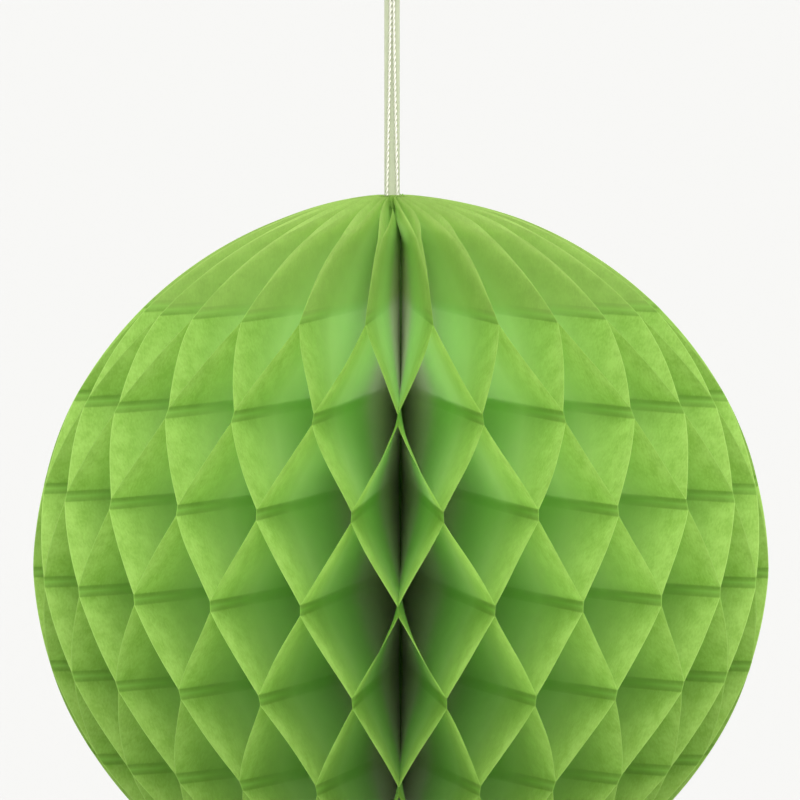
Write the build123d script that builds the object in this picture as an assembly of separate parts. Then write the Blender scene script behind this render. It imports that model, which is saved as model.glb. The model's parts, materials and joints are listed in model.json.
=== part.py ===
"""Paper honeycomb ball: fifty tissue leaves bound at a spine, between two card covers.

The ball is opened right out and hangs by a ribbon and two threads.
Millimetres and degrees, +Z up. The origin is where a hook bears in the hanging loop.
"""
from build123d import *
from math import asin, cos, degrees, hypot, radians, sin, sqrt, tan
import os

# The ball
ball_radius = 101.6
leaf_count = 50
leaf_thickness = 0.04
leaf_pitch = 0.08
cover_thickness = 0.4
seam_gap = 0.3
notch_width = 3.7
notch_height = 3.6

# The adhesive pads that hold the two covers back to back
pad_radius = 6.0
pad_clearance = 0.03
pad_out = 58.0
pad_height = 46.0

# The thread along the spine, and the knots at its ends
spine_thread_diameter = 0.6
knot_depth = 2.2
top_knot_radius = 1.1
top_knot_bar = 2.2
bottom_knot_radius = 1.3
knot_tail = 0.9

# The string: a flat ribbon behind two threads, tied together above
string_offset = -2.5
thread_diameter = 0.8
thread_y = -0.15
thread_spread = 3.0
thread_join_height = 42.0
ribbon_width = 4.25
ribbon_thickness = 0.25
ribbon_y = 0.5
loop_knot_radius = 2.7
loop_knot_height = 60.0
loop_width = 5.0
loop_height = 13.0

# What follows from them
turn = 360 / leaf_count
half_turn_cot = 1 / tan(radians(turn / 2))
seam_width = 2 * cover_thickness + seam_gap
spine_step = seam_width / (2 * half_turn_cot)
spine_radius = (leaf_pitch * half_turn_cot + spine_step) / 2
spine_depth = spine_step * leaf_count / 2
die_centre = -spine_radius - spine_depth / 2
crown_height = loop_knot_height + loop_height
hang_height = crown_height - ribbon_thickness / 2
centre_z = -hang_height - ball_radius


def turned(point, angle):
    """A flat (out, up the stack) vector turned by an angle."""
    x, y = point
    c = cos(radians(angle))
    s = sin(radians(angle))
    return (x * c - y * s, x * s + y * c)


def spine_edge(leaf):
    """How far out a leaf's spine edge stands in the shut stack: the stack's spine is rounded."""
    return -spine_step * min(leaf, leaf_count - leaf)


def hinge_places():
    """Each leaf's hinge about the ball's axis, walked from cover to cover, in (out, up the stack)."""
    place = (spine_radius, seam_width / 2)
    places = [place]
    for leaf in range(leaf_count):
        step = (spine_edge(leaf + 1) - spine_edge(leaf), leaf_pitch)
        dx, dy = turned(step, leaf * turn)
        place = (place[0] + dx, place[1] + dy)
        places.append(place)
    return places


def in_ball(solid, leaf, places):
    """A flat piece, drawn with its hinge at x = spine_edge, set at its place in the open ball."""
    out, up = places[leaf]
    x, y = turned((out, up), 90)
    drawn_at_hinge = Pos(-spine_edge(leaf), 0, 0) * solid
    return Pos(x, y, centre_z) * Rot(0, 0, 90 + leaf * turn) * drawn_at_hinge


def flat_leaf(leaf, thickness, stack_place):
    """A half disc with its two spine corners notched, standing in the XZ plane."""
    spine = spine_edge(leaf)
    step_z = ball_radius - notch_height
    rim_z = sqrt(ball_radius**2 - (notch_width - die_centre) ** 2)
    corners = [
        (notch_width, 0, -rim_z),
        (notch_width, 0, -step_z),
        (spine, 0, -step_z),
        (spine, 0, step_z),
        (notch_width, 0, step_z),
        (notch_width, 0, rim_z),
    ]
    rim = ThreePointArc(corners[-1], (die_centre + ball_radius, 0, 0), corners[0])
    outline = Wire(Polyline(*corners).edges() + rim.edges())
    sheet = extrude(Face(outline), amount=thickness, dir=(0, 1, 0))
    return Pos(0, stack_place, 0) * sheet


def tissue_leaf(leaf, places):
    sheet = flat_leaf(leaf, leaf_thickness, (leaf_pitch - leaf_thickness) / 2)
    return in_ball(sheet, leaf, places)


def first_cover(places):
    return in_ball(flat_leaf(0, cover_thickness, -cover_thickness), 0, places)


def last_cover(places):
    return in_ball(flat_leaf(leaf_count, cover_thickness, 0), leaf_count, places)


def seam_pads(places):
    """Two round adhesive pads on the first cover's outer face."""
    thickness = seam_gap - pad_clearance
    middle = -cover_thickness - thickness / 2
    pads = []
    for z in (pad_height, -pad_height):
        pad = Pos(pad_out, middle, z) * Rot(90, 0, 0) * Cylinder(pad_radius, thickness)
        pads.append(in_ball(pad, 0, places))
    return Compound(children=pads)


def at_pole(x, y, height):
    """A point of the string, its height counted from the ball's top."""
    return (x, y, height - hang_height)


def top_knot():
    """A bar knot lying across the spine's top end, in the notches."""
    bar = Rot(0, 90, 0) * Cylinder(top_knot_radius, top_knot_bar)
    ends = [Pos(x, 0, 0) * Sphere(top_knot_radius) for x in (-top_knot_bar / 2, top_knot_bar / 2)]
    return Pos(*at_pole(string_offset + 0.2, 0, -knot_depth)) * (bar + ends[0] + ends[1])


def bottom_knot():
    return Pos(0, 0, centre_z - ball_radius + knot_depth) * Sphere(bottom_knot_radius)


def centre_thread():
    """The binding thread inside the hollow spine, from knot to knot."""
    length = 2 * (ball_radius - knot_depth - knot_tail)
    return Pos(0, 0, centre_z) * Cylinder(spine_thread_diameter / 2, length)


def largest_radii(points):
    """For each inner point: 0.45 of the shorter run over the tangent of half the turn."""
    radii = []
    for before, here, after in zip(points, points[1:], points[2:]):
        run_in = Vector(*here) - Vector(*before)
        run_out = Vector(*after) - Vector(*here)
        half = radians(run_in.get_angle(run_out)) / 2
        radii.append(0.45 * min(run_in.length, run_out.length) / tan(half))
    return radii


def routed(name, points):
    """The path of straight runs and tangent arcs through a cord's points."""
    radii = largest_radii(points)
    path = FilletPolyline(*points, radius=radii)
    print(name, "length", round(path.length, 2), "radii", [round(r, 1) for r in radii])
    return path


def thread(side):
    """One strand: it leaves the top knot at its own side and leans in to meet the other."""
    apart = side * thread_spread / 2
    close = side * (thread_diameter / 2 + 0.02)
    points = [
        at_pole(string_offset + apart, thread_y, -knot_depth + 0.3),
        at_pole(string_offset + close, thread_y, thread_join_height),
        at_pole(string_offset + close, thread_y, loop_knot_height - 0.5),
    ]
    path = routed("thread", points)
    section = Plane(origin=path @ 0, z_dir=path % 0) * Circle(thread_diameter / 2)
    return sweep(section, path=path)


def ribbon():
    """Up the back of the threads, through the loop knot, round the hook and back into the knot."""
    half = loop_width / 2
    points = [
        at_pole(string_offset, ribbon_y, -knot_depth + 0.9),
        at_pole(string_offset, ribbon_y, loop_knot_height + 0.5),
        at_pole(string_offset, half + 0.4, crown_height - 6.0),
        at_pole(string_offset, half - 0.2, crown_height),
        at_pole(string_offset, -half + 0.5, crown_height),
        at_pole(string_offset, -half - 0.1, crown_height - 6.2),
        at_pole(string_offset, -0.4, loop_knot_height + 0.6),
    ]
    path = routed("ribbon", points)
    section = Plane(origin=path @ 0, x_dir=(1, 0, 0), z_dir=path % 0) * Rectangle(
        ribbon_width, ribbon_thickness
    )
    return sweep(section, path=path)


def loop_knot():
    return Pos(*at_pole(string_offset, 0.1, loop_knot_height)) * Sphere(loop_knot_radius)


def write(name, shape):
    export_step(shape, f"parts/{name}.step")


os.makedirs("parts", exist_ok=True)
hinges = hinge_places()
write("cover_a", first_cover(hinges))
write("cover_b", last_cover(hinges))
write("seam_pads", seam_pads(hinges))
for number in range(leaf_count):
    write(f"leaf_{number:02d}", tissue_leaf(number, hinges))
write("top_knot", top_knot())
write("bottom_knot", bottom_knot())
write("centre_thread", centre_thread())
write("thread_left", thread(-1))
write("thread_right", thread(1))
write("ribbon", ribbon())
write("loop_knot", loop_knot())
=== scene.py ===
import json
import math

import bpy
import numpy as np
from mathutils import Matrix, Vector


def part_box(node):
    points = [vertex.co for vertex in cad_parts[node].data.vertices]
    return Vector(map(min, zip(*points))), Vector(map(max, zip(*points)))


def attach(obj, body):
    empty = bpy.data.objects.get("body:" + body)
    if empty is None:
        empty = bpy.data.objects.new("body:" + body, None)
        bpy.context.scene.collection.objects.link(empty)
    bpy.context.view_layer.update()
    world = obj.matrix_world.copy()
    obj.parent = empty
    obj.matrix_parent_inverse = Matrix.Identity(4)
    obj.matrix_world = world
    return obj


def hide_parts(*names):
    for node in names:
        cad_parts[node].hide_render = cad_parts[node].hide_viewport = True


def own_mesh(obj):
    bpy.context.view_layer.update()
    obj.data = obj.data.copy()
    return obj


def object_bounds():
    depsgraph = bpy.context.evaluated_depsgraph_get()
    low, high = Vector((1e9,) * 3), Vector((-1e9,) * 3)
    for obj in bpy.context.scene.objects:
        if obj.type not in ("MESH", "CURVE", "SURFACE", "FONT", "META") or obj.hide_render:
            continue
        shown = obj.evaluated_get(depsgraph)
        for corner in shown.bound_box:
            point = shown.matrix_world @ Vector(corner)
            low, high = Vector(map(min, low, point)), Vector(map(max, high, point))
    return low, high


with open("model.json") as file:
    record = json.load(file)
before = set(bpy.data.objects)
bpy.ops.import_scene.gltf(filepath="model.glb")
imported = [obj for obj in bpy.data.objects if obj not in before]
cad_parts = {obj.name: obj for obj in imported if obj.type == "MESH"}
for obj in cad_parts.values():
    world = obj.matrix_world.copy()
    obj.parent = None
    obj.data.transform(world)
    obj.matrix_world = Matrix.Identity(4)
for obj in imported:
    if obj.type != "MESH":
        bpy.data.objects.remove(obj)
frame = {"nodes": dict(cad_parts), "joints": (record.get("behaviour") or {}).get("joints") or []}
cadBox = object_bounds()
scene = bpy.context.scene
scene.view_settings.view_transform = "Standard"


def mm(value):
    return value / 1000


def linear(hexColour):
    # an sRGB hex colour as the linear values the shaders take
    parts = [int(hexColour[i : i + 2], 16) / 255 for i in (1, 3, 5)]
    return [p / 12.92 if p <= 0.04045 else ((p + 0.055) / 1.055) ** 2.4 for p in parts] + [1]


def add(tree, kind, inputs=None, **settings):
    # one node, with its settings, and its inputs as values or as links from other sockets
    node = tree.nodes.new(kind)
    for name, value in settings.items():
        setattr(node, name, value)
    for name, value in (inputs or {}).items():
        if isinstance(value, bpy.types.NodeSocket):
            tree.links.new(value, node.inputs[name])
        else:
            node.inputs[name].default_value = value
    return node


def meshPiece(name, points, faces, material=None, uv=None, smooth=True):
    # uv is one (u, v) for each point; a face takes its corners' values
    mesh = bpy.data.meshes.new(name)
    mesh.from_pydata([tuple(p) for p in points], [], faces)
    if uv is not None:
        layer = mesh.uv_layers.new(name="flat")
        corner = np.zeros(len(mesh.loops), np.int32)
        mesh.loops.foreach_get("vertex_index", corner)
        layer.data.foreach_set("uv", np.array(uv, np.float32)[corner].ravel())
    mesh.polygons.foreach_set("use_smooth", [smooth] * len(mesh.polygons))
    piece = bpy.data.objects.new(name, mesh)
    scene.collection.objects.link(piece)
    if material:
        mesh.materials.append(material)
    return piece


# ---- the ball's frame, read from the model
joints = {j["name"]: j for j in frame["joints"]}
leafCount = len(joints)
turn = 2 * math.pi / leafCount
ballMiddle = Vector(joints["fold_01"]["pos_m"]).z
coverLow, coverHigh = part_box("cover_a")
hinges = [Vector((coverHigh.x, coverLow.y, ballMiddle))]
hinges += [Vector(joints[f"fold_{n:02d}"]["pos_m"]) for n in range(1, leafCount + 1)]


# ---- camera: a long lens a little above the ball's middle
view = {
    "distance": 1.524,  # from the ball's middle
    "elevation": 6.1,
    "azimuth": 0.5,
    "sensor": 36,
    "near": 0.05,
    "far": 900,
    "acrossAtBall": 0.2222,  # what the picture's width spans at the ball
    "aimAbove": 0.0444,  # the picture's middle, above the ball's middle
    "aimRight": -0.0003,
}


def makeCamera():
    e = math.radians(view["elevation"])
    a = math.radians(view["azimuth"])
    right = Vector((math.cos(a), math.sin(a), 0))
    back = Vector((math.sin(a) * math.cos(e), -math.cos(a) * math.cos(e), math.sin(e)))
    up = back.cross(right)
    middle = Vector((0, 0, ballMiddle))
    place = middle + back * view["distance"]
    aim = middle + up * view["aimAbove"] + right * view["aimRight"]
    data = bpy.data.cameras.new("camera")
    data.sensor_width = view["sensor"]
    data.lens = view["sensor"] * view["distance"] / view["acrossAtBall"]
    data.clip_start, data.clip_end = view["near"], view["far"]
    camera = bpy.data.objects.new("camera", data)
    scene.collection.objects.link(camera)
    camera.location = place
    camera.rotation_mode = "QUATERNION"
    camera.rotation_quaternion = (aim - place).to_track_quat("-Z", "Y")
    scene.camera = camera


makeCamera()
print("camera set")


# ---- the string's routes: the CAD route's own points, in metres
hangHeight = mm(72.875)


def atPole(x, y, height):
    return (mm(x), mm(y), mm(height) - hangHeight)


string = {
    "threadDiameter": mm(0.8),
    "plyTurn": mm(3.3),  # one full twist of the two plies
    "pressed": 1.06,  # how much thicker a ply is drawn, as the two press into each other
    "ribbonWidth": mm(4.25),
    "ribbonThickness": mm(0.25),
    "webShare": 0.8,  # the web's thickness, of the ribbon's
    "cornerShare": 0.62,
    "webWidth": 0.985,  # the flat faces' width, of the ribbon's
}
threadRoutes = {
    "threadLeft": [atPole(-4.0, -0.15, -1.9), atPole(-2.92, -0.15, 42), atPole(-2.92, -0.15, 59.5)],
    "threadRight": [atPole(-1.0, -0.15, -1.9), atPole(-2.08, -0.15, 42), atPole(-2.08, -0.15, 59.5)],
}
ribbonRoute = [
    atPole(-2.5, 0.5, -1.3),
    atPole(-2.5, 0.5, 60.5),
    atPole(-2.5, 2.9, 67),
    atPole(-2.5, 2.3, 73),
    atPole(-2.5, -2.0, 73),
    atPole(-2.5, -2.6, 66.8),
    atPole(-2.5, -0.4, 60.6),
]


def splineLine(route, steps):
    # the points of the smooth NURBS line that the route's points control
    curve = bpy.data.curves.new("route", "CURVE")
    curve.dimensions = "3D"
    curve.resolution_u = steps
    spline = curve.splines.new("NURBS")
    spline.points.add(len(route) - 1)
    for point, place in zip(spline.points, route):
        point.co = (*place, 1)
    spline.order_u = 3
    spline.use_endpoint_u = True
    holder = bpy.data.objects.new("route", curve)
    mesh = bpy.data.meshes.new_from_object(holder)
    line = np.array([v.co for v in mesh.vertices], float)
    bpy.data.meshes.remove(mesh)
    bpy.data.objects.remove(holder)
    bpy.data.curves.remove(curve)
    return line


def evenly(line, step):
    along = np.concatenate([[0], np.cumsum(np.linalg.norm(np.diff(line, axis=0), axis=1))])
    at = np.linspace(0, along[-1], max(2, math.ceil(along[-1] / step) + 1))
    return np.stack([np.interp(at, along, line[:, k]) for k in range(3)], axis=1), at


def carriedFrames(line, side):
    # for each point the two directions square to the line, carried along it without twist
    ahead = np.gradient(line, axis=0)
    ahead /= np.linalg.norm(ahead, axis=1)[:, None]
    across = np.zeros_like(line)
    now = np.array(side, float)
    for i, t in enumerate(ahead):
        now = now - t * (now @ t)
        now /= np.linalg.norm(now)
        across[i] = now
    return across, np.cross(ahead, across)


def strandShape(line, along, radius, plies, plyTurn, sides=9, side=(1, 0, 0)):
    # plies wound round each other; the outside of the strand is radius from the line
    across, over = carriedFrames(line, side)
    plyRadius = radius / (1 + 1 / math.sin(math.pi / plies)) * string["pressed"]
    ringRadius = radius - plyRadius
    points, faces, uv = [], [], []
    for ply in range(plies):
        start = len(points)
        for i, place in enumerate(line):
            angle = 2 * math.pi * (along[i] / plyTurn + ply / plies)
            outward = across[i] * math.cos(angle) + over[i] * math.sin(angle)
            sideways = -across[i] * math.sin(angle) + over[i] * math.cos(angle)
            middle = place + outward * ringRadius
            for k in range(sides):
                a = 2 * math.pi * k / sides
                points.append(middle + plyRadius * (outward * math.cos(a) + sideways * math.sin(a)))
                uv.append((along[i] * 1000, k / sides))
        for i in range(len(line) - 1):
            for k in range(sides):
                a, b = start + i * sides + k, start + i * sides + (k + 1) % sides
                faces.append((a, b, b + sides, a + sides))
        faces.append([start + k for k in reversed(range(sides))])
        faces.append([start + (len(line) - 1) * sides + k for k in range(sides)])
    return points, faces, uv


# ---- materials
thin = {  # the tissue's own sizes, along the flat leaf
    "fibre": mm(0.55),
    "cloud": mm(5),
    "wrinkle": mm(9),
    "fibreDepth": mm(0.08),
    "wrinkleDepth": mm(0.7),
    "through": 0.6,  # the share of the light that goes through the sheet
}


def newMaterial(name):
    material = bpy.data.materials.new(name)
    material.use_nodes = True
    tree = material.node_tree
    tree.nodes.clear()
    return material, tree


def setStops(ramp, *stops):
    # each stop is a position and a colour, from the first to the last
    elements = ramp.color_ramp.elements
    for element, (position, colour) in ((elements[0], stops[0]), (elements[1], stops[-1])):
        element.position, element.color = position, linear(colour)
    for position, colour in stops[1:-1]:
        elements.new(position).color = linear(colour)


def scaled(tree, value, share):
    return add(tree, "ShaderNodeMath", {0: value, 1: share}, operation="MULTIPLY").outputs[0]


def tinted(tree, base, mask, share, colour):
    # a colour laid over the base where one of the leaf's own attributes says so
    strength = scaled(tree, add(tree, "ShaderNodeAttribute", attribute_name=mask).outputs["Fac"], share)
    mix = add(tree, "ShaderNodeMix", {"Factor": strength}, data_type="RGBA")
    tree.links.new(base, mix.inputs["A"])
    mix.inputs["B"].default_value = linear(colour)
    return mix.outputs["Result"]


def dyedTissue():
    # 17 g tissue, dyed through: matt, cloudy where the fibres lie thicker, and light comes through
    material, tree = newMaterial("dyedTissue")
    flat = add(tree, "ShaderNodeUVMap", uv_map="flat").outputs["UV"]
    cloud = add(
        tree,
        "ShaderNodeTexNoise",
        {"Vector": flat, "Scale": 1 / thin["cloud"], "Detail": 3.0, "Roughness": 0.6},
    )
    grain = add(tree, "ShaderNodeMapping", {"Vector": flat, "Scale": (1.0, 0.45, 1.0)})
    fibre = add(
        tree,
        "ShaderNodeTexNoise",
        {"Vector": grain.outputs["Vector"], "Scale": 1 / thin["fibre"], "Detail": 4.0, "Roughness": 0.65},
    )
    mottle = add(
        tree,
        "ShaderNodeMath",
        {0: cloud.outputs["Fac"], 1: 0.55, 2: scaled(tree, fibre.outputs["Fac"], 0.45)},
        operation="MULTIPLY_ADD",
    )
    body = add(tree, "ShaderNodeValToRGB", {"Fac": mottle.outputs[0]})
    setStops(body, (0.4, "#93bc54"), (0.6, "#a8cf68"))
    colour = tinted(tree, body.outputs["Color"], "glue", 0.8, "#a9d46c")
    # painted shade: a darker line where the sheet folds at each glue strip's edge
    colour = tinted(tree, colour, "crease", 0.6, "#86ad4c")
    # painted highlight: a lighter line along the cut rim, where the edge catches the light
    colour = tinted(tree, colour, "rim", 1.0, "#b2d874")
    # painted light: the colour is paler deep inside the ball, towards the binding, standing in for light that
    # the render carries through a few sheets only; an even colour goes black there
    deep = add(tree, "ShaderNodeAttribute", attribute_name="deep").outputs["Fac"]
    inner = add(tree, "ShaderNodeValToRGB", {"Fac": deep})
    paler = ((0.04, "#a4cd68"), (0.2, "#bbde8b"), (0.34, "#c8e9a0"), (0.6, "#d3eeb6"), (1.0, "#eef4e2"))
    setStops(inner, *paler)
    share = add(tree, "ShaderNodeMapRange", {"Value": deep, "From Min": 0.04, "From Max": 0.2})
    inside = add(tree, "ShaderNodeMix", {"Factor": share.outputs["Result"]}, data_type="RGBA")
    tree.links.new(colour, inside.inputs["A"])
    tree.links.new(inner.outputs["Color"], inside.inputs["B"])
    # painted light: a little paler and yellower past the last glue line at the top, for the same reason,
    # where the top light falls through fewer leaves
    colour = tinted(tree, inside.outputs["Result"], "crown", 0.36, "#cfe38f")
    wrinkle = add(tree, "ShaderNodeTexNoise", {"Vector": flat, "Scale": 1 / thin["wrinkle"], "Detail": 2.0})
    wrinkled = add(
        tree,
        "ShaderNodeBump",
        {"Height": wrinkle.outputs["Fac"], "Strength": 0.35, "Distance": thin["wrinkleDepth"]},
    )
    relief = add(
        tree,
        "ShaderNodeBump",
        {
            "Height": fibre.outputs["Fac"],
            "Strength": 0.25,
            "Distance": thin["fibreDepth"],
            "Normal": wrinkled.outputs["Normal"],
        },
    ).outputs["Normal"]
    front = add(
        tree,
        "ShaderNodeBsdfPrincipled",
        {"Base Color": colour, "Roughness": 0.85, "Specular IOR Level": 0.25, "Normal": relief},
    )
    through = add(tree, "ShaderNodeBsdfTranslucent", {"Color": colour, "Normal": relief})
    both = add(tree, "ShaderNodeMixShader", {0: thin["through"], 1: front.outputs[0], 2: through.outputs[0]})
    add(tree, "ShaderNodeOutputMaterial", {"Surface": both.outputs[0]})
    return material


def greenCard():
    # dyed pulp card, 0.4 mm: matt, cloudy, with short flecks of fibre
    material, tree = newMaterial("greenPulpCard")
    place = add(tree, "ShaderNodeTexCoord").outputs["Object"]
    fleck = add(
        tree,
        "ShaderNodeTexNoise",
        {"Vector": place, "Scale": 1 / mm(0.6), "Detail": 3.0, "Roughness": 0.7},
    ).outputs["Fac"]
    cloud = add(tree, "ShaderNodeTexNoise", {"Vector": place, "Scale": 1 / mm(7), "Detail": 2.0})
    mottle = add(
        tree,
        "ShaderNodeMath",
        {0: fleck, 1: 0.6, 2: scaled(tree, cloud.outputs["Fac"], 0.4)},
        operation="MULTIPLY_ADD",
    )
    body = add(tree, "ShaderNodeValToRGB", {"Fac": mottle.outputs[0]})
    setStops(body, (0.38, "#79b037"), (0.62, "#8cc14a"))
    bump = add(tree, "ShaderNodeBump", {"Height": fleck, "Strength": 0.3, "Distance": mm(0.05)})
    shader = add(
        tree,
        "ShaderNodeBsdfPrincipled",
        {
            "Base Color": body.outputs["Color"],
            "Roughness": 0.8,
            "Specular IOR Level": 0.3,
            "Normal": bump.outputs["Normal"],
        },
    )
    add(tree, "ShaderNodeOutputMaterial", {"Surface": shader.outputs[0]})
    return material


def cottonThread():
    # mercerised cotton, two plies: off-white, a soft sheen along the twist, fine fibres within each ply
    material, tree = newMaterial("twistedCotton")
    flat = add(tree, "ShaderNodeUVMap", uv_map="flat").outputs["UV"]
    lay = add(tree, "ShaderNodeMapping", {"Vector": flat, "Scale": (1.4, 14.0, 1.0)}).outputs["Vector"]
    fibre = add(tree, "ShaderNodeTexNoise", {"Vector": lay, "Scale": 1.0, "Detail": 3.0}).outputs["Fac"]
    body = add(tree, "ShaderNodeValToRGB", {"Fac": fibre})
    setStops(body, (0.3, "#c6c6b6"), (0.7, "#dddccf"))
    bump = add(tree, "ShaderNodeBump", {"Height": fibre, "Strength": 0.4, "Distance": mm(0.05)})
    shader = add(
        tree,
        "ShaderNodeBsdfPrincipled",
        {
            "Base Color": body.outputs["Color"],
            "Roughness": 0.6,
            "Sheen Weight": 0.3,
            "Sheen Roughness": 0.4,
            "Normal": bump.outputs["Normal"],
        },
    )
    add(tree, "ShaderNodeOutputMaterial", {"Surface": shader.outputs[0]})
    return material


def sageSatin():
    # narrow woven polyester satin: pale sage, a soft sheen, fine warp lines crossed by a faint weft
    material, tree = newMaterial("sageSatinRibbon")
    flat = add(tree, "ShaderNodeUVMap", uv_map="flat").outputs["UV"]
    warp = add(tree, "ShaderNodeMapping", {"Vector": flat, "Scale": (16.0, 0.25, 1.0)}).outputs["Vector"]
    lines = add(tree, "ShaderNodeTexNoise", {"Vector": warp, "Scale": 1.0, "Detail": 2.0}).outputs["Fac"]
    weft = add(
        tree,
        "ShaderNodeTexWave",
        {"Vector": flat, "Scale": 1.1, "Distortion": 0.4},
        wave_type="BANDS",
        bands_direction="Y",
    ).outputs["Fac"]
    body = add(tree, "ShaderNodeValToRGB", {"Fac": lines})
    setStops(body, (0.3, "#b2ba9a"), (0.7, "#c5cbb0"))
    height = add(tree, "ShaderNodeMath", {0: weft, 1: 0.5, 2: lines}, operation="MULTIPLY_ADD").outputs[0]
    bump = add(tree, "ShaderNodeBump", {"Height": height, "Strength": 0.3, "Distance": mm(0.04)})
    shader = add(
        tree,
        "ShaderNodeBsdfPrincipled",
        {
            "Base Color": body.outputs["Color"],
            "Roughness": 0.45,
            "Sheen Weight": 0.2,
            "Normal": bump.outputs["Normal"],
        },
    )
    through = add(tree, "ShaderNodeBsdfTranslucent", {"Color": body.outputs["Color"]})
    both = add(tree, "ShaderNodeMixShader", {0: 0.25, 1: shader.outputs[0], 2: through.outputs[0]})
    add(tree, "ShaderNodeOutputMaterial", {"Surface": both.outputs[0]})
    return material


def whiteFoam():
    # closed-cell foam pad: matt off-white with fine pores
    material, tree = newMaterial("whiteFoamPad")
    place = add(tree, "ShaderNodeTexCoord").outputs["Object"]
    pores = add(tree, "ShaderNodeTexVoronoi", {"Vector": place, "Scale": 1 / mm(0.35)}).outputs["Distance"]
    body = add(tree, "ShaderNodeValToRGB", {"Fac": pores})
    setStops(body, (0.0, "#d4d4cb"), (1.0, "#f0efe8"))
    bump = add(tree, "ShaderNodeBump", {"Height": pores, "Strength": 0.4, "Distance": mm(0.08)})
    shader = add(
        tree,
        "ShaderNodeBsdfPrincipled",
        {"Base Color": body.outputs["Color"], "Roughness": 0.9, "Normal": bump.outputs["Normal"]},
    )
    add(tree, "ShaderNodeOutputMaterial", {"Surface": shader.outputs[0]})
    return material


def spineThread():
    # the binding thread, dyed with the tissue, its colour painted darker for the shade inside the spine, with
    # slanting lines for its twist
    material, tree = newMaterial("dyedBindingThreadPaintedShade")
    place = add(tree, "ShaderNodeTexCoord").outputs["Object"]
    twist = add(
        tree,
        "ShaderNodeTexWave",
        {"Vector": place, "Scale": 0.35 / mm(1.6), "Distortion": 0.6, "Detail": 1.0},
        wave_type="BANDS",
        bands_direction="DIAGONAL",
    ).outputs["Fac"]
    body = add(tree, "ShaderNodeValToRGB", {"Fac": twist})
    setStops(body, (0.0, "#3d5c2a"), (1.0, "#64843f"))
    bump = add(tree, "ShaderNodeBump", {"Height": twist, "Strength": 0.5, "Distance": mm(0.08)})
    shader = add(
        tree,
        "ShaderNodeBsdfPrincipled",
        {"Base Color": body.outputs["Color"], "Roughness": 0.55, "Normal": bump.outputs["Normal"]},
    )
    add(tree, "ShaderNodeOutputMaterial", {"Surface": shader.outputs[0]})
    return material


tissue = dyedTissue()
card = greenCard()
cotton = cottonThread()
satin = sageSatin()
foam = whiteFoam()
binding = spineThread()
print("materials made")


# ---- threads and ribbon
def makeThread(name, node, route):
    line, along = evenly(splineLine(route, 60), mm(0.16))
    points, faces, uv = strandShape(line, along, string["threadDiameter"] / 2, 2, string["plyTurn"])
    piece = meshPiece(name, points, faces, cotton, uv)
    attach(piece, "first_cover")
    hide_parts(node)
    return piece, line


def makeRibbon():
    width, thickness = string["ribbonWidth"], string["ribbonThickness"]
    line, along = evenly(splineLine(ribbonRoute, 40), mm(0.3))
    across, over = carriedFrames(line, (1, 0, 0))
    # the section: two flat faces that meet in blunt selvedges
    steps = 8
    upper = []
    for k in range(steps + 1):
        share = string["webShare"] if 0 < k < steps else string["cornerShare"]
        upper.append((width * (k / steps - 0.5) * string["webWidth"], thickness / 2 * share))
    section = upper + [(width / 2, 0)] + [(x, -y) for x, y in reversed(upper)] + [(-width / 2, 0)]
    points, faces, uv = [], [], []
    n = len(section)
    for i, place in enumerate(line):
        for x, y in section:
            points.append(place + across[i] * x + over[i] * y)
            uv.append((x * 1000, along[i] * 1000))
    for i in range(len(line) - 1):
        for k in range(n):
            a, b = i * n + k, i * n + (k + 1) % n
            faces.append((a, a + n, b + n, b))
    faces.append(list(range(n)))
    faces.append([(len(line) - 1) * n + k for k in reversed(range(n))])
    piece = meshPiece("ribbonWeb", points, faces, satin, uv)
    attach(piece, "first_cover")
    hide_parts("ribbon")
    return piece, line


threads = {
    "threadLeft": makeThread("threadLeft", "thread_left", threadRoutes["threadLeft"]),
    "threadRight": makeThread("threadRight", "thread_right", threadRoutes["threadRight"]),
}
ribbonPiece, ribbonLine = makeRibbon()
print("string made")


# ---- knots
knot = {
    "loopBand": (mm(2.6), mm(1.5)),  # the ribbon's width and thickness, crumpled in its knot
    "loopTilt": (0.35, 0.94),  # cosine and sine of how far the knot leans back
    "wound": mm(0.62),  # the thread, pulled thin
    "turns": 4.5,
    "woundTwist": mm(1.6),
    "coreTwist": mm(2.4),
    "endBand": (mm(0.72), mm(0.62)),
}


def knotPath(samples, major, minor, squeeze):
    # a trefoil, the shape of a pulled-tight overhand knot
    t = np.linspace(0, 2 * math.pi, samples, endpoint=False)
    x = np.sin(t) + 2 * np.sin(2 * t)
    y = np.cos(t) - 2 * np.cos(2 * t)
    z = -np.sin(3 * t)
    return np.stack([x * major / 3, y * major / 3, z * minor], axis=1) * np.array(squeeze)


def closedBand(path, width, thickness, sides=10):
    # a closed loop of a flattened tube; its section turns with the path and meets itself
    n = len(path)
    ahead = np.roll(path, -1, axis=0) - np.roll(path, 1, axis=0)
    ahead /= np.linalg.norm(ahead, axis=1)[:, None]
    outward = path / np.maximum(np.linalg.norm(path, axis=1), 1e-9)[:, None]
    outward -= ahead * (outward * ahead).sum(1)[:, None]
    outward /= np.linalg.norm(outward, axis=1)[:, None]
    across = np.cross(ahead, outward)
    points, faces, uv = [], [], []
    for i in range(n):
        for k in range(sides):
            a = 2 * math.pi * k / sides
            through, along = thickness / 2 * math.cos(a), width / 2 * math.sin(a)
            points.append(path[i] + outward[i] * through + across[i] * along)
            uv.append((width * 500 * math.sin(a), i / n * 40))
    for i in range(n):
        for k in range(sides):
            a, b = i * sides + k, i * sides + (k + 1) % sides
            c, d = (i + 1) % n * sides + k, (i + 1) % n * sides + (k + 1) % sides
            faces.append((a, b, d, c))
    return points, faces, uv


def middleOf(node):
    low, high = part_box(node)
    return np.array((low + high) / 2), np.array(high - low)


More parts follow.
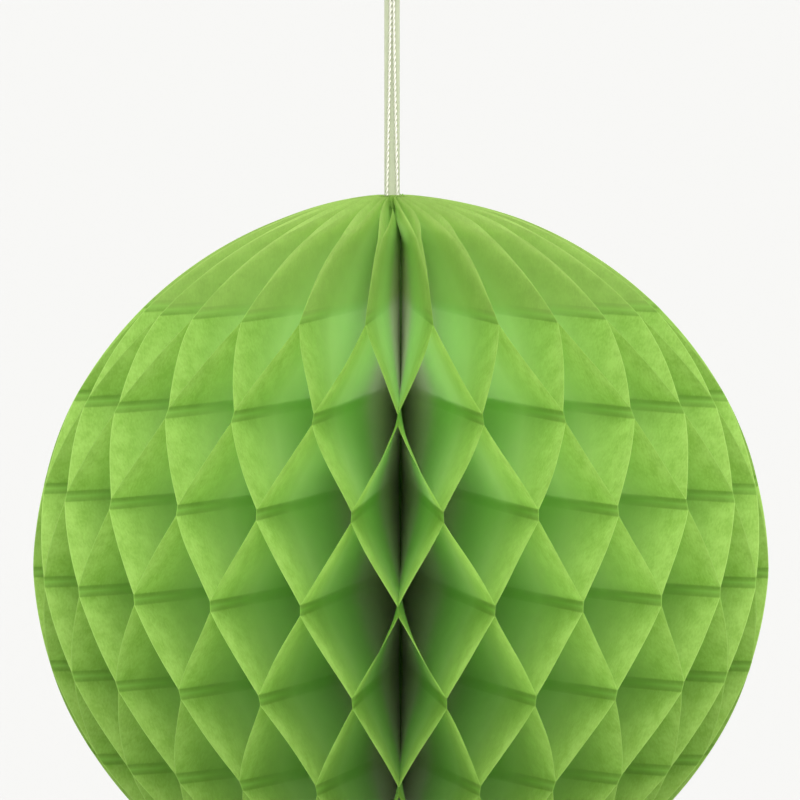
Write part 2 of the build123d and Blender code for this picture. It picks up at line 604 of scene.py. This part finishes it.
def makeLoopKnot():
    # the ribbon's overhand knot, pulled tight round the two threads
    middle, size = middleOf("loop_knot")
    c, s = knot["loopTilt"]
    path = knotPath(160, size[0] * 0.30, size[2] * 0.24, (1, 0.9, 1))
    path = path @ np.array([[1, 0, 0], [0, c, s], [0, -s, c]])
    points, faces, uv = closedBand(path, *knot["loopBand"], 12)
    piece = meshPiece("loopKnot", np.array(points) + middle, faces, satin, uv)
    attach(piece, "first_cover")
    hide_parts("loop_knot")
    return piece


def makeTopKnot():
    # the threads wound four and a half times round their own ends, lying across the spine's top
    middle, size = middleOf("top_knot")
    wound = knot["wound"]
    reach = size[0] / 2 - wound / 2
    t = np.linspace(0, 1, 260)
    angle = 2 * math.pi * knot["turns"] * t
    ahead = reach * (2 * t - 1) * 0.95
    backAndForth = (size[1] / 2 - wound / 2) * np.cos(angle)
    upAndDown = (size[2] / 2 - wound / 2) * np.sin(angle)
    line = np.stack([ahead, backAndForth, upAndDown], axis=1)
    core, coreAlong = evenly(np.array([[-reach, 0, 0], [reach, 0, 0]]), mm(0.2))
    line, along = evenly(line, mm(0.14))
    points, faces, uv = strandShape(line, along, wound / 2, 2, knot["woundTwist"], 8, (0, 1, 0))
    corePoints, coreFaces, coreUv = strandShape(core, coreAlong, wound, 2, knot["coreTwist"], 8, (0, 1, 0))
    shift = len(points)
    points += corePoints
    faces += [[shift + v for v in f] for f in coreFaces]
    piece = meshPiece("topKnot", np.array(points) + middle, faces, cotton, uv + coreUv)
    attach(piece, "first_cover")
    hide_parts("top_knot")


def makeBottomKnot():
    middle, size = middleOf("bottom_knot")
    path = knotPath(120, size[0] * 0.30, size[2] * 0.26, (1, 1, 1))
    points, faces, uv = closedBand(path, *knot["endBand"], 10)
    piece = meshPiece("bottomKnot", np.array(points) + middle, faces, cotton, uv)
    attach(piece, "first_cover")
    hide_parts("bottom_knot")


loopKnot = makeLoopKnot()
makeTopKnot()
makeBottomKnot()
print("knots made")


# ---- tissue leaves
leaf = {
    "radius": mm(101.6),
    "rimMiddle": mm(-1.086),  # the die's centre, out from the spine edge of the first leaf
    "spineStep": mm(0.0346),
    "notchWidth": mm(3.7),
    "frontNotch": mm(1.2),  # of the leaves in front of the knots, which stand closer in
    "frontLeaves": 5,  # how many of them each side of the middle
    "notchHeight": mm(3.6),
    "gluePitch": mm(25.5),
    "middleGlue": mm(-2.9),  # the glue line nearest the ball's middle
    "linesEachWay": 3,
    "glueStrip": mm(2.8),
    "sheetGap": mm(0.03),
    "shrinkAbove": 0.047,
    "shrinkBelow": 0.040,
    "slack": mm(0.9),
    "ripple": 38.0,  # ripples of the slack paper, per metre
    "waver": mm(2.6),
    "waverWaves": 22.0,  # per metre of height
    "curved": 0.06,  # how far the run between two glue lines is from straight
    "poleBend": 0.16,  # how far a leaf strays from its plane past the last line
    "poleSpread": 0.34,  # and how much further at the pole, where all stand evenly
    "spreadFrom": 0.8,  # shares of the glue pitch past the last line
    "spreadOver": 0.25,
    "frontPair": (24, 25),  # these two shut the slot between them
    "shutFrom": 0.62,
    "shutOver": 0.25,
    "shutOut": mm(16),
    "shutBelow": mm(98.5),
    "shutFade": mm(2),
    "lean": mm(-2.2),  # the string draws the top to one side
    "leanFrom": mm(88),
    "leanOver": mm(12),
    "leanOut": mm(28),
    "crownFrom": mm(72.6),
    "crownOver": mm(2.5),
    "bindingEdge": mm(4),  # the strip beside the binding that gets less of the painted light, so it stays darker
    "columns": 24,
    "rowStep": mm(2.6),
    "closeTo": mm(0.02),  # how near the notch's step its second row lies
    "creaseWidth": mm(0.35),
    "rimLine": mm(0.32),
}


def between0and1(value):
    return min(1.0, max(0.0, value))


def spineEdge(number):
    return -leaf["spineStep"] * min(number, leafCount - number)


def leafRows():
    # heights of the mesh's rows: on the glue strips' edges, close beside them, and closer towards the poles
    top = math.sqrt(leaf["radius"] ** 2 - (leaf["notchWidth"] - leaf["rimMiddle"]) ** 2)
    step = leaf["radius"] - leaf["notchHeight"]
    fixed = {-top, top, -step, step, -step - leaf["closeTo"], step + leaf["closeTo"]}
    for level in range(-leaf["linesEachWay"], leaf["linesEachWay"] + 1):
        middle = leaf["middleGlue"] + level * leaf["gluePitch"]
        for side in (-1, 1):
            edge = middle + side * leaf["glueStrip"] / 2
            fixed |= {edge, edge + side * leaf["creaseWidth"]}
    fixed = sorted(z for z in fixed if abs(z) <= top)
    rows = []
    for low, high in zip(fixed, fixed[1:]):
        a, b = math.asin(low / leaf["radius"]), math.asin(high / leaf["radius"])
        parts = max(1, math.ceil((b - a) * leaf["radius"] / leaf["rowStep"]))
        if high - low > mm(6):
            parts = max(parts, 8)
        rows += [leaf["radius"] * math.sin(a + (b - a) * k / parts) for k in range(parts)]
    return rows + [top]


def flatLeaf(number, rows, notchWidth):
    # the leaf as it is cut: out from the spine along X, height along Z
    columns = leaf["columns"]
    inner = spineEdge(number)
    step = leaf["radius"] - leaf["notchHeight"]
    points, uv, fromRim, outShare = [], [], [], []
    for z in rows:
        start = notchWidth if abs(z) > step + mm(0.001) else inner
        end = leaf["rimMiddle"] + math.sqrt(leaf["radius"] ** 2 - z**2)
        for c in range(columns + 1):
            share = 1 - (1 - c / columns) ** 1.35
            if c == columns - 1:
                share = 1 - min(leaf["rimLine"] / max(end - start, mm(1)), 0.3)
            x = start + (end - start) * share
            points.append((x, 0, z))
            uv.append((x + 0.131 * number, z + 0.071 * number))
            fromRim.append(end - x)
            outShare.append(math.hypot(x, z) / leaf["radius"])
    faces = []
    for r in range(len(rows) - 1):
        for c in range(columns):
            a = r * (columns + 1) + c
            faces.append((a, a + 1, a + columns + 2, a + columns + 1))
    piece = meshPiece(f"tissueLeaf{number:02d}", points, faces, None, uv)
    glue, crease, rim, deep, crown = [], [], [], [], []
    for (x, _, z), d, share in zip(points, fromRim, outShare):
        level = (z - leaf["middleGlue"]) / leaf["gluePitch"]
        away = abs(level - round(level)) * leaf["gluePitch"]
        atLine = abs(round(level)) <= leaf["linesEachWay"]
        glue.append(1.0 if atLine and away < leaf["glueStrip"] / 2 - mm(0.3) else 0.0)
        # the crease mask marks where the painted shade of the fold goes
        crease.append(1.0 if atLine and abs(away - leaf["glueStrip"] / 2) < mm(0.05) else 0.0)
        # the rim mask marks where the painted highlight along the cut edge goes
        rim.append(1.0 if d < leaf["rimLine"] * 0.5 else 0.0)
        # how far inside the ball, counted in widths of the cell there
        width = max(x, mm(12)) * 2 * turn
        # painted light: only part of the paling is laid on within bindingEdge of the binding
        paintedLightShare = 0.45 + 0.55 * between0and1((x - inner) / leaf["bindingEdge"])
        deep.append(between0and1((1 - share) * leaf["radius"] / width / 6) * paintedLightShare)
        # the crown mask carries the painted light at the top, past the last glue line
        crown.append(between0and1((z - leaf["crownFrom"]) / leaf["crownOver"]))
    masks = {"glue": glue, "crease": crease, "rim": rim, "deep": deep, "crown": crown}
    for name, values in masks.items():
        attribute = piece.data.attributes.new(name, "FLOAT", "POINT")
        attribute.data.foreach_set("value", values)
    return piece


def openLeafTree():
    # opens a flat leaf between two planes through the ball's axis: on one plane where it is glued to the leaf
    # before it, on the other where it is glued to the next, and slanting from one to the other in between
    tree = bpy.data.node_groups.new("openLeaf", "GeometryNodeTree")
    face = tree.interface
    face.new_socket("Leaf", in_out="INPUT", socket_type="NodeSocketGeometry")
    sizes = {
        "Number": ("NodeSocketInt", 0),
        "Hinge A": ("NodeSocketVector", (0, 0, 0)),
        "Hinge B": ("NodeSocketVector", (0, 0, 0)),
        "Out A": ("NodeSocketVector", (0, 1, 0)),
        "Out B": ("NodeSocketVector", (0, 1, 0)),
        "Edge A": ("NodeSocketFloat", 0.0),
        "Edge B": ("NodeSocketFloat", 0.0),
        "Radius": ("NodeSocketFloat", leaf["radius"]),
        "Glue pitch": ("NodeSocketFloat", leaf["gluePitch"]),
        "Middle glue": ("NodeSocketFloat", leaf["middleGlue"]),
        "Glue strip": ("NodeSocketFloat", leaf["glueStrip"]),
        "Sheet gap": ("NodeSocketFloat", leaf["sheetGap"]),
        "Shrink above": ("NodeSocketFloat", leaf["shrinkAbove"]),
        "Shrink below": ("NodeSocketFloat", leaf["shrinkBelow"]),
        "Slack": ("NodeSocketFloat", leaf["slack"]),
        "Waver A": ("NodeSocketFloat", leaf["waver"]),
        "Waver B": ("NodeSocketFloat", leaf["waver"]),
        "Lean": ("NodeSocketFloat", leaf["lean"]),
        "Lean from": ("NodeSocketFloat", leaf["leanFrom"]),
        "Close": ("NodeSocketFloat", 0.0),
        "Seed": ("NodeSocketFloat", 4.0),
        "Paper": ("NodeSocketMaterial", None),
    }
    for name, (kind, value) in sizes.items():
        socket = face.new_socket(name, in_out="INPUT", socket_type=kind)
        if value is not None:
            socket.default_value = value
    face.new_socket("Leaf", in_out="OUTPUT", socket_type="NodeSocketGeometry")
    given = add(tree, "NodeGroupInput").outputs

    def maths(operation, *values):
        return add(tree, "ShaderNodeMath", dict(enumerate(values)), operation=operation).outputs[0]

    def clamped(value):
        return maths("MINIMUM", maths("MAXIMUM", value, 0.0), 1.0)

    def ramped(value, over):
        return clamped(maths("DIVIDE", value, over))

    def vectors(operation, a, b=None, scale=None):
        node = add(tree, "ShaderNodeVectorMath", {0: a}, operation=operation)
        if b is not None:
            tree.links.new(b, node.inputs[1])
        if scale is not None:
            tree.links.new(scale, node.inputs["Scale"])
        return node.outputs["Vector"]

    cut = add(tree, "ShaderNodeSeparateXYZ", {0: add(tree, "GeometryNodeInputPosition").outputs[0]}).outputs
    out, height = cut["X"], cut["Z"]
    # where between two glue lines
    level = maths("DIVIDE", maths("SUBTRACT", height, given["Middle glue"]), given["Glue pitch"])
    # past the last glue line either way the leaves are free
    lastLine = float(leaf["linesEachWay"])
    base = maths("MINIMUM", maths("MAXIMUM", maths("FLOOR", level), -lastLine - 1), lastLine)
    isTop = maths("COMPARE", base, lastLine, 0.25)
    isBottom = maths("COMPARE", base, -lastLine - 1, 0.25)
    between = maths("SUBTRACT", level, base)
    half = maths("DIVIDE", given["Glue strip"], maths("MULTIPLY", given["Glue pitch"], 2.0))
    unglued = maths("SUBTRACT", 1.0, maths("MULTIPLY", half, 2.0))
    free = maths("DIVIDE", maths("SUBTRACT", between, half), unglued)
    free = maths("MINIMUM", maths("MAXIMUM", free, 0.0), maths("ADD", 1.0, maths("MULTIPLY", isTop, 0.3)))
    # nearly straight in the middle of the ball; near the poles the leaf keeps to its plane longer
    squared = maths("MULTIPLY", free, free)
    smooth = maths("MULTIPLY", squared, maths("SUBTRACT", 3.0, maths("MULTIPLY", free, 2.0)))
    straight = maths("MULTIPLY", free, 1 - leaf["curved"])
    plain = maths("ADD", straight, maths("MULTIPLY", smooth, leaf["curved"]))
    spread = ramped(maths("SUBTRACT", free, leaf["spreadFrom"]), leaf["spreadOver"])
    topEase = maths("MULTIPLY", squared, leaf["poleBend"])
    topEase = maths("ADD", topEase, maths("MULTIPLY", spread, leaf["poleSpread"]))
    # the two front leaves lean on each other deep under the pole, and shut the slot between them
    high = ramped(maths("SUBTRACT", free, leaf["shutFrom"]), leaf["shutOver"])
    inside = clamped(maths("SUBTRACT", 1.5, maths("DIVIDE", out, leaf["shutOut"])))
    under = ramped(maths("SUBTRACT", leaf["shutBelow"], height), leaf["shutFade"])
    shut = maths("MULTIPLY", maths("MULTIPLY", maths("MULTIPLY", high, inside), given["Close"]), under)
    topEase = maths("ADD", topEase, maths("MULTIPLY", shut, maths("SUBTRACT", 1.0, topEase)))
    lowFree = maths("SUBTRACT", 1.0, free)
    lowBend = maths("MULTIPLY", maths("MULTIPLY", lowFree, lowFree), leaf["poleBend"])
    bottomEase = maths("SUBTRACT", 1.0, lowBend)
    eased = maths("ADD", plain, maths("MULTIPLY", isTop, maths("SUBTRACT", topEase, plain)))
    eased = maths("ADD", eased, maths("MULTIPLY", isBottom, maths("SUBTRACT", bottomEase, plain)))
    # which plane the leaf is on at the glue line below
    odd = maths("FLOORED_MODULO", maths("ADD", base, given["Number"]), 2.0)
    onB = maths("SUBTRACT", 1.0, odd)
    across = maths("ADD", onB, maths("MULTIPLY", eased, maths("SUBTRACT", 1.0, maths("MULTIPLY", onB, 2.0))))
    # the two planes' points, and the leaf's between them
    fromA = vectors("SCALE", given["Out A"], scale=maths("SUBTRACT", out, given["Edge A"]))
    fromB = vectors("SCALE", given["Out B"], scale=maths("SUBTRACT", out, given["Edge B"]))
    placeA = vectors("ADD", given["Hinge A"], fromA)
    placeB = vectors("ADD", given["Hinge B"], fromB)
    outShare = maths("DIVIDE", out, given["Radius"])
    side = vectors("NORMALIZE", vectors("SUBTRACT", placeB, placeA))
    wavered = []
    for place, planeNumber, waver in (
        (placeA, given["Number"], given["Waver A"]),
        (placeB, maths("ADD", given["Number"], 1.0), given["Waver B"]),
    ):
        # hand-opened planes aren't quite even; two leaves glued on one plane share its waver
        wave = add(
            tree,
            "ShaderNodeTexNoise",
            {
                "Vector": add(tree, "ShaderNodeCombineXYZ", {0: height}).outputs[0],
                "W": maths("ADD", given["Seed"], maths("MULTIPLY", planeNumber, 5.3)),
                "Scale": leaf["waverWaves"],
                "Detail": 1.0,
            },
            noise_dimensions="4D",
        ).outputs["Fac"]
        reach = maths("MULTIPLY", maths("MULTIPLY", maths("SUBTRACT", wave, 0.5), 2.0), waver)
        reach = maths("MULTIPLY", reach, maths("MAXIMUM", outShare, 0.0))
        wavered.append(vectors("ADD", place, vectors("SCALE", side, scale=reach)))
    placeA, placeB = wavered
    step = vectors("SUBTRACT", placeB, placeA)
    place = vectors("ADD", placeA, vectors("SCALE", step, scale=across))
    # slack paper bellies a little between the glue lines, more towards the rim
    where = add(tree, "ShaderNodeCombineXYZ", {0: out, 1: maths("MULTIPLY", height, 0.7)}).outputs[0]
    ripple = add(
        tree,
        "ShaderNodeTexNoise",
        {
            "Vector": where,
            "W": maths("ADD", given["Seed"], maths("MULTIPLY", given["Number"], 3.7)),
            "Scale": leaf["ripple"],
            "Detail": 1.5,
        },
        noise_dimensions="4D",
    ).outputs["Fac"]
    bow = maths("MULTIPLY", maths("MULTIPLY", free, maths("SUBTRACT", 1.0, free)), 4.0)
    belly = maths("MULTIPLY", maths("SUBTRACT", ripple, 0.5), maths("MULTIPLY", given["Slack"], 2.0))
    belly = maths("MULTIPLY", belly, maths("MULTIPLY", bow, maths("MAXIMUM", outShare, 0.0)))
    gap = maths("MULTIPLY", given["Sheet gap"], maths("SUBTRACT", 1.0, maths("MULTIPLY", across, 2.0)))
    place = vectors("ADD", place, vectors("SCALE", side, scale=maths("ADD", gap, belly)))
    # opened leaves draw in towards the middle of the ball's height, the more the further out
    above = maths("GREATER_THAN", height, 0.0)
    more = maths("SUBTRACT", given["Shrink above"], given["Shrink below"])
    shrink = maths("ADD", given["Shrink below"], maths("MULTIPLY", above, more))
    tall = maths("MULTIPLY", height, maths("SUBTRACT", 1.0, maths("MULTIPLY", shrink, outShare)))
    # the top leans to the string's side, near the axis only
    toPole = ramped(maths("SUBTRACT", height, given["Lean from"]), leaf["leanOver"])
    toPole = maths("MULTIPLY", toPole, ramped(out, leaf["notchWidth"]))
    nearAxis = clamped(maths("SUBTRACT", 1.15, maths("DIVIDE", out, leaf["leanOut"])))
    toPole = maths("MULTIPLY", toPole, nearAxis)
    leaning = add(tree, "ShaderNodeCombineXYZ", {0: maths("MULTIPLY", toPole, given["Lean"])})
    leaned = add(tree, "ShaderNodeSeparateXYZ", {0: vectors("ADD", place, leaning.outputs[0])}).outputs
    lifted = maths("ADD", leaned["Z"], tall)
    final = add(tree, "ShaderNodeCombineXYZ", {0: leaned["X"], 1: leaned["Y"], 2: lifted})
    moved = add(tree, "GeometryNodeSetPosition", {"Geometry": given["Leaf"], "Position": final.outputs[0]})
    real = add(tree, "GeometryNodeRealizeInstances", {0: moved.outputs[0]})
    painted = add(tree, "GeometryNodeSetMaterial", {"Geometry": real.outputs[0], "Material": given["Paper"]})
    add(tree, "NodeGroupOutput", {0: painted.outputs[0]})
    return tree


def outward(number):
    angle = math.pi / 2 + turn * number
    return Vector((math.cos(angle), math.sin(angle), 0))


def setInputs(modifier, values):
    named = {s.name: s.identifier for s in modifier.node_group.interface.items_tree if s.in_out == "INPUT"}
    for name, value in values.items():
        modifier[named[name]] = value


def makeLeaves():
    tree = openLeafTree()
    rows = leafRows()
    middleLeaf = (leafCount - 1) / 2
    pieces = []
    for number in range(leafCount):
        inFront = abs(number - middleLeaf) < leaf["frontLeaves"]
        flat = flatLeaf(number, rows, leaf["frontNotch"] if inFront else leaf["notchWidth"])
        modifier = flat.modifiers.new("open", "NODES")
        modifier.node_group = tree
        setInputs(
            modifier,
            {
                "Number": number,
                "Hinge A": hinges[number],
                "Hinge B": hinges[number + 1],
                "Out A": outward(number),
                "Out B": outward(number + 1),
                "Edge A": spineEdge(number),
                "Edge B": spineEdge(number + 1),
                "Waver A": 0.0 if number == 0 else leaf["waver"],
                "Waver B": 0.0 if number == leafCount - 1 else leaf["waver"],
                "Close": 1.0 if number in leaf["frontPair"] else 0.0,
                "Paper": tissue,
            },
        )
        opened = bpy.data.meshes.new_from_object(flat.evaluated_get(bpy.context.evaluated_depsgraph_get()))
        flat.modifiers.clear()
        old = flat.data
        flat.data = opened
        bpy.data.meshes.remove(old)
        opened.name = flat.name
        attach(flat, "first_cover" if number == 0 else f"leaf_{number:02d}")
        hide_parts(f"leaf_{number:02d}")
        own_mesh(flat)
        pieces.append(flat)
    return pieces


leaves = makeLeaves()
print("leaves opened:", len(leaves), "faces each", len(leaves[0].data.polygons))


# ---- covers, pads and the binding thread keep their CAD shapes
def paint(node, material):
    cadPiece = frame["nodes"][node]
    cadPiece.data.materials.clear()
    cadPiece.data.materials.append(material)


paint("cover_a", card)
paint("cover_b", card)
paint("seam_pads", foam)
paint("centre_thread", binding)


# ---- floor and light
studio = {
    "floorDrop": 0.25,
    "floorHalf": 300.0,  # so wide that its far edge looks like the horizon
    "worldStrength": 0.6,
    "spread": 45,  # degrees across, for each lamp
    # strength, azimuth from the front, height
    "frontDiffuser": (1.45, 0, 31),
    "leftDiffuser": (0.55, -62, 32),
    "rightDiffuser": (0.7, 64, 32),
    "topDiffuser": (3.9, 10, 68),
}


def paleFloor():
    material, tree = newMaterial("paleFloorPaint")
    shader = add(
        tree,
        "ShaderNodeBsdfPrincipled",
        {"Base Color": linear("#afafae"), "Roughness": 0.9, "Specular IOR Level": 0.0},
    )
    add(tree, "ShaderNodeOutputMaterial", {"Surface": shader.outputs[0]})
    h, z = studio["floorHalf"], cadBox[0].z - studio["floorDrop"]
    corners = [(-h, -h, z), (h, -h, z), (h, h, z), (-h, h, z)]
    floor = meshPiece("paleFloor", corners, [(0, 1, 2, 3)], material, smooth=False)


def diffuser(name):
    # light from one side of the ball, as wide and soft as through a diffuser
    strength, azimuth, height = studio[name]
    data = bpy.data.lights.new(name, "SUN")
    data.energy = strength
    data.angle = math.radians(studio["spread"])
    lamp = bpy.data.objects.new(name, data)
    scene.collection.objects.link(lamp)
    lamp.rotation_euler = (math.radians(90 - height), 0, math.radians(azimuth))


def studioLight():
    world = bpy.data.worlds.new("softStudio")
    scene.world = world
    world.use_nodes = True
    tree = world.node_tree
    tree.nodes.clear()
    sky = add(tree, "ShaderNodeBackground", {"Color": linear("#fdfcfa"), "Strength": studio["worldStrength"]})
    add(tree, "ShaderNodeOutputWorld", {"Surface": sky.outputs[0]})
    for name in ("frontDiffuser", "leftDiffuser", "rightDiffuser", "topDiffuser"):
        diffuser(name)


paleFloor()
studioLight()
print("floor and light set")
